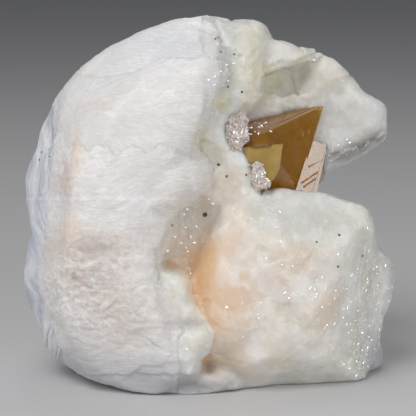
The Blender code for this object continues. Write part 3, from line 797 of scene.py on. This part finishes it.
def clear_material(name, colour, index, roughness, absorbs, density, clear, worn=0.22, shine=0.5):
    """A see-through crystal: plain transmission, index and absorption values."""
    look = Shader(name)
    shader = look.surface
    spot = look.node("ShaderNodeTexCoord").outputs["Object"]
    cloudy = look.ramp(look.noise(spot, 300.0, 4.0, 0.6), 0.42, 0.66, 0.0, CLOUDINESS)
    look.put(shader.inputs["Base Color"], look.mix(cloudy, colour, linear(*VEIL_COLOUR)))
    shader.inputs["Roughness"].default_value = roughness
    shader.inputs["IOR"].default_value = index
    shader.inputs["Specular IOR Level"].default_value = shine
    shader.inputs["Transmission Weight"].default_value = clear
    look.put(shader.inputs["Normal"], look.bump(look.noise(spot, 650.0, 4.0), 0.0002, worn))
    absorb = look.node("ShaderNodeVolumeAbsorption")
    absorb.inputs["Color"].default_value = absorbs
    absorb.inputs["Density"].default_value = density
    look.links.new(absorb.outputs[0], look.output.inputs["Volume"])
    return look.material


def face_along(mesh, direction):
    """A point and the normal of the largest face that looks in a direction."""
    outward = seen_direction(direction)
    faces = [p for p in mesh.polygons if p.normal.dot(outward) > 0.999]
    chosen = max(faces, key=lambda p: p.area)
    return chosen.center.copy(), chosen.normal.copy()


def seen_direction(direction):
    """A direction given as right, up and towards the viewer, in the specimen's own axes."""
    return sum((axis * share for axis, share in zip(view_axes(), direction)), Vector()).normalized()


def part_behind(mesh, spot, normal):
    """The closed part of a solid that lies behind a plane."""
    bm = bmesh.new()
    bm.from_mesh(mesh)
    everything = bm.verts[:] + bm.edges[:] + bm.faces[:]
    bmesh.ops.bisect_plane(bm, geom=everything, plane_co=spot, plane_no=normal, clear_outer=True)
    rim = [edge for edge in bm.edges if edge.is_boundary]
    bmesh.ops.holes_fill(bm, edges=rim, sides=0)
    bmesh.ops.recalc_face_normals(bm, faces=bm.faces)
    made = bpy.data.meshes.new("part")
    bm.to_mesh(made)
    bm.free()
    return made


def scaled_about_middle(mesh, scale):
    middle = sum((v.co for v in mesh.vertices), Vector()) / len(mesh.vertices)
    mesh.transform(Matrix.Translation(middle) @ Matrix.Scale(scale, 4) @ Matrix.Translation(-middle))


def combined(thing, mesh, operation):
    """Add a solid to a piece, or take it away."""
    other = new_object("other", mesh)
    step = thing.modifiers.new("form", "BOOLEAN")
    step.operation = operation
    step.object = other
    step.solver = "MANIFOLD"
    applied(thing)
    bpy.data.objects.remove(other)


def crystal_piece(thing, look, bevel):
    """A see-through piece with its sharp edges very slightly worn."""
    edges = thing.modifiers.new("edges", "BEVEL")
    edges.width = bevel * MM
    edges.segments = 1
    edges.limit_method = "ANGLE"
    edges.angle_limit = math.radians(12)
    applied(thing)
    thing.data.materials.clear()
    thing.data.materials.append(look)
    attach(thing, "root")


def add_bar(bm, tree, start, end, width, height):
    """A low three-sided ridge on a crystal face between two places of the picture."""
    ends = [hit_surface(tree, *place) for place in (start, end)]
    if any(spot is None for spot, _ in ends):
        return
    normal = ends[0][1]
    along = (ends[1][0] - ends[0][0]).normalized()
    side = normal.cross(along) * width * MM / 2
    rings = []
    for spot, _ in ends:
        base = spot - normal * GROWTH_LINE_SINK * MM
        corners = (base + side, base - side, spot + normal * height * MM)
        rings.append([bm.verts.new(corner) for corner in corners])
    bm.faces.new(rings[0])
    bm.faces.new(rings[1][::-1])
    for n in range(3):
        m = (n + 1) % 3
        bm.faces.new((rings[0][n], rings[1][n], rings[1][m], rings[0][m]))


def build_growth_lines(whole, look):
    """Growth steps on the crystals, parallel to their edges."""
    tree = tree_of(whole)
    bm = bmesh.new()
    for start, end, width, height in GROWTH_LINES:
        add_bar(bm, tree, start, end, width, height)
    bmesh.ops.recalc_face_normals(bm, faces=bm.faces)
    mesh = bpy.data.meshes.new("growth_lines")
    bm.to_mesh(mesh)
    bm.free()
    mesh.materials.append(look)
    thing = new_object("powellite_growth_lines", mesh)
    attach(thing, "root")


def place_on_plane(place, spot, normal):
    """Where the sight line through a place of the picture meets a plane."""
    eye, direction = ray_through(*place)
    return eye + direction * ((spot - eye).dot(normal) / direction.dot(normal))


def powellite_form():
    """The crystals with the shoulder that joins the main one to the one behind it."""
    whole = welded("powellite_crystals")
    spot, normal = face_along(whole, MAIN_FACE)
    corner = place_on_plane(SHOULDER_MIDDLE, spot, normal)
    front = seen_direction(GLARE_FACE)
    side = seen_direction(SIDE_FACE)
    top = seen_direction(SHOULDER_TOP_FACE)
    bm = bmesh.new()
    bmesh.ops.create_cube(bm, size=SHOULDER_REACH * MM, matrix=Matrix.Translation(corner))
    block = bpy.data.meshes.new("shoulder")
    bm.to_mesh(block)
    bm.free()
    outer = place_on_plane(SHOULDER_RIGHT, corner, front)
    upper = place_on_plane(SHOULDER_TOP, corner, front)
    inner = corner - side * SHOULDER_OVERLAP * MM
    back = corner - front * SHOULDER_DEPTH * MM
    foot = Vector((0, 0, SHOULDER_FOOT * MM))
    walls = ((corner, front), (outer, side), (upper, top), (inner, -side), (back, -front))
    walls += ((foot, Vector((0, 0, -1))),)
    for spot, normal in walls:
        block = part_behind(block, spot, normal)
    thing = new_object("powellite_form", whole)
    combined(thing, block, "UNION")
    mesh = thing.data
    bpy.data.objects.remove(thing)
    return mesh


def plate_on_plane(outline, spot, normal, thickness):
    """A flat closed plate whose front lies in a plane and has an outline drawn in the picture."""
    bm = bmesh.new()
    front = [bm.verts.new(place_on_plane(place, spot, normal)) for place in outline]
    back = [bm.verts.new(v.co - normal * thickness * MM) for v in front]
    bm.faces.new(front)
    bm.faces.new(back[::-1])
    for n in range(len(front)):
        bm.faces.new((front[n - 1], back[n - 1], back[n], front[n]))
    bmesh.ops.recalc_face_normals(bm, faces=bm.faces)
    mesh = bpy.data.meshes.new("plate")
    bm.to_mesh(mesh)
    bm.free()
    return mesh


def build_powellite(whole):
    """The honey crystals, and the pale one that a thin parting sets off from the main one."""
    honey_colour, pale_colour = linear(*HONEY_COLOUR), linear(*PALE_COLOUR)
    honey = clear_material("powellite", honey_colour, POWELLITE_INDEX, 0.03, HONEY, 70.0, 0.82, shine=0.3)
    pale = clear_material("powellite_pale", pale_colour, POWELLITE_INDEX, 0.10, PALE_HONEY, 40.0, 0.35, 0.06)
    spot, normal = face_along(whole, PALE_FACE)
    slab = plate_on_plane(PALE_OUTLINE, spot, normal, PALE_THICKNESS)
    body = new_object("powellite_main", whole.copy())
    before = spot + normal * PALE_CLEAR * MM
    room = plate_on_plane(PALE_OUTLINE, before, normal, PALE_THICKNESS + PALE_CLEAR)
    scaled_about_middle(room, PARTING_SCALE)
    combined(body, room, "DIFFERENCE")
    crystal_piece(body, honey, EDGE_WEAR)
    crystal_piece(new_object("powellite_front", slab), pale, PALE_EDGE_WEAR)
    build_growth_lines(whole, honey)
    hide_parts("powellite_crystals")


def blunt_crystal(bm, place, size, turn):
    """A small square prism with a blunt pyramid end."""
    rings = ((1.0, -1.0), (1.0, 0.35), (0.42, 0.95))
    corners = ((1, 1), (-1, 1), (-1, -1), (1, -1))
    verts = []
    for wide, high in rings:
        for x, y in corners:
            spot = turn @ Vector((x * wide, y * wide, high * PRISM_STRETCH)) * (size * MM / 2)
            verts.append(bm.verts.new(place + spot))
    bm.faces.new(verts[3::-1])
    bm.faces.new(verts[8:12])
    for low in (0, 4):
        for n in range(4):
            m = (n + 1) % 4
            bm.faces.new((verts[low + n], verts[low + m], verts[low + 4 + m], verts[low + 4 + n]))


def build_crust(node, look, count, sizes, sparkle):
    """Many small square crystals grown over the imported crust."""
    chance = random.Random(count)
    cleavage = seen_direction(CLEAVAGES[0])
    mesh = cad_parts[node].data
    faces = [p for p in mesh.polygons if p.normal.dot(view_axes()[2]) > -0.2]
    areas = list(itertools.accumulate(p.area for p in faces))
    bm = bmesh.new()
    bm.from_mesh(welded(node))
    for _ in range(count):
        face = faces[bisect.bisect(areas, chance.random() * areas[-1]) % len(faces)]
        a, b, c = (mesh.vertices[i].co for i in face.vertices[:3])
        u, v = sorted((chance.random(), chance.random()))
        spot = a * u + b * (v - u) + c * (1 - v)
        tilt = Vector([chance.gauss(0, CRUST_LEAN) for _ in range(3)])
        facing = chance.choice((face.normal, face.normal, cleavage))
        turn = (facing + tilt).to_track_quat("Z", "Y").to_matrix()
        turn = turn @ Matrix.Rotation(chance.random() * math.pi, 3, "Z")
        size = chance.uniform(*sizes)
        blunt_crystal(bm, spot + face.normal * size * CRUST_LIFT * MM, size, turn)
    made = bpy.data.meshes.new(node + "_crystals")
    bm.to_mesh(made)
    bm.free()
    made.materials.append(look)
    thing = new_object(node + "_crystals", made)
    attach(thing, "root")
    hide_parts(node)
    build_glints(node + "_glints", made, sparkle)


def build_crusts():
    colour, depths = linear(*APOPHYLLITE_COLOUR), linear(*APOPHYLLITE_DEPTHS)
    look = clear_material("apophyllite", colour, APOPHYLLITE_INDEX, 0.04, depths, 10.0, 0.4)
    build_crust("apophyllite_upper_crust", look, *UPPER_CRUST, UPPER_SPARKLE)
    build_crust("apophyllite_lower_crust", look, *LOWER_CRUST, LOWER_SPARKLE)


def hit_surface(tree, across, up):
    eye, direction = ray_through(across, up)
    spot, normal, _, _ = tree.ray_cast(eye, direction)
    return spot, normal


def add_plate(bm, spot, normal, length, width, thickness, spin):
    """A thin flat flake at a place of the surface."""
    turn = normal.to_track_quat("Z", "Y").to_matrix() @ Matrix.Rotation(spin, 3, "Z")
    corners = [(x * length / 2, y * width / 2) for x, y in ((1, 0.6), (-1, 1), (-1, -0.6), (1, -1))]
    rings = []
    for height in (thickness / 2, -thickness / 2):
        rings.append([bm.verts.new(spot + turn @ Vector((x, y, height)) * MM) for x, y in corners])
    bm.faces.new(rings[0])
    bm.faces.new(rings[1][::-1])
    for n in range(4):
        m = (n + 1) % 4
        bm.faces.new((rings[0][m], rings[0][n], rings[1][n], rings[1][m]))


def build_glints(name, surface, places):
    """Small bright cleavage flakes on a surface, seen at some places of the picture."""
    chance = random.Random(11)
    cleavages = [seen_direction(direction) for direction in CLEAVAGES]
    tree = tree_of(surface)
    bm = bmesh.new()
    for across, up, wide, high, strength in places:
        for _ in range(int(GLINTS_PER_AREA * wide * high * strength)):
            place = chance.gauss(across, wide * GLINT_SPREAD), chance.gauss(up, high * GLINT_SPREAD)
            spot, _ = hit_surface(tree, *place)
            if spot is None:
                continue
            tilt = Vector([chance.gauss(0, GLINT_LEAN) for _ in range(3)])
            length = chance.uniform(*GLINT_LENGTHS)
            facing = (chance.choice(cleavages) + tilt).normalized()
            sides = (length, length * GLINT_WIDTH, GLINT_THICKNESS)
            add_plate(bm, spot, facing, *sides, chance.random() * math.tau)
    mesh = bpy.data.meshes.new(name)
    bm.to_mesh(mesh)
    bm.free()
    thing = new_object(name, mesh)
    look = Shader(name)
    look.surface.inputs["Roughness"].default_value = 0.10
    look.surface.inputs["IOR"].default_value = GLINT_INDEX
    spot = look.node("ShaderNodeTexCoord").outputs["Object"]
    colour = look.mix(look.noise(spot, 900.0), linear(*GLINT_WARM), linear(*GLINT_WHITE))
    look.put(look.surface.inputs["Base Color"], colour)
    mesh.materials.append(look.material)
    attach(thing, "root")


def build_specks(stilbite):
    """Small dark grains sunk a little in the surface."""
    chance = random.Random(5)
    tree = tree_of(stilbite.data)
    grains = bmesh.new()
    for across, up, size in SPECKS:
        spot, normal = hit_surface(tree, across, up)
        if spot is None:
            continue
        made = bmesh.ops.create_icosphere(grains, subdivisions=2, radius=size * MM / 2)["verts"]
        for vert in made:
            vert.co *= chance.uniform(0.75, 1.2)
            vert.co.z *= 0.6
        turn = normal.to_track_quat("Z", "Y").to_matrix().to_4x4()
        bmesh.ops.transform(grains, matrix=Matrix.Translation(spot) @ turn, verts=made)
    mesh = bpy.data.meshes.new("dark_grains")
    grains.to_mesh(mesh)
    grains.free()
    thing = new_object("dark_grains", mesh)
    look = Shader("dark_grain")
    look.surface.inputs["Roughness"].default_value = 0.5
    spot = look.node("ShaderNodeTexCoord").outputs["Object"]
    colour = look.mix(look.noise(spot, 4000.0), linear(*GRAIN_DARK), linear(*GRAIN_PALE))
    look.put(look.surface.inputs["Base Color"], colour)
    mesh.materials.append(look.material)
    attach(thing, "root")


def build_studio():
    """A pale floor, five soft lights, a dim surround and the camera."""
    floor = bmesh.new()
    bmesh.ops.create_grid(floor, x_segments=1, y_segments=1, size=FLOOR_HALF)
    mesh = bpy.data.meshes.new("floor")
    floor.to_mesh(mesh)
    floor.free()
    thing = new_object("floor", mesh)
    look = Shader("floor")
    look.surface.inputs["Base Color"].default_value = linear(*FLOOR_COLOUR)
    look.surface.inputs["Roughness"].default_value = 0.7
    mesh.materials.append(look.material)

    for name, place, size, energy, colour in LIGHTS:
        data = bpy.data.lights.new(name, "AREA")
        data.size = size
        data.energy = energy
        data.color = colour
        lamp = bpy.data.objects.new(name, data)
        bpy.context.scene.collection.objects.link(lamp)
        lamp.location = place
        lamp.rotation_euler = (AIM * MM - Vector(place)).to_track_quat("-Z", "Y").to_euler()
    world = bpy.data.worlds.new("studio")
    bpy.context.scene.world = world
    world.use_nodes = True
    world.node_tree.nodes["Background"].inputs[0].default_value = SURROUND_COLOUR
    world.node_tree.nodes["Background"].inputs[1].default_value = SURROUND_STRENGTH

    right, upward, towards = view_axes()
    camera = bpy.data.objects.new("camera", bpy.data.cameras.new("camera"))
    bpy.context.scene.collection.objects.link(camera)
    camera.matrix_world = Matrix.Translation((AIM + towards * VIEW_DISTANCE) * MM) @ (
        Matrix((right, upward, towards)).transposed().to_4x4()
    )
    camera.data.sensor_width = 36.0
    camera.data.lens = LENS
    camera.data.clip_start = 0.01
    bpy.context.scene.camera = camera
    bpy.context.scene.view_settings.view_transform = "Standard"


crystals = powellite_form()
stilbite = build_stilbite(crystals)
build_powellite(crystals)
build_crusts()
build_glints("stilbite_glints", stilbite.data, SPARKLE)
build_glints("apophyllite_glints", crystals, CRYSTAL_SPARKLE)
build_specks(stilbite)
build_studio()
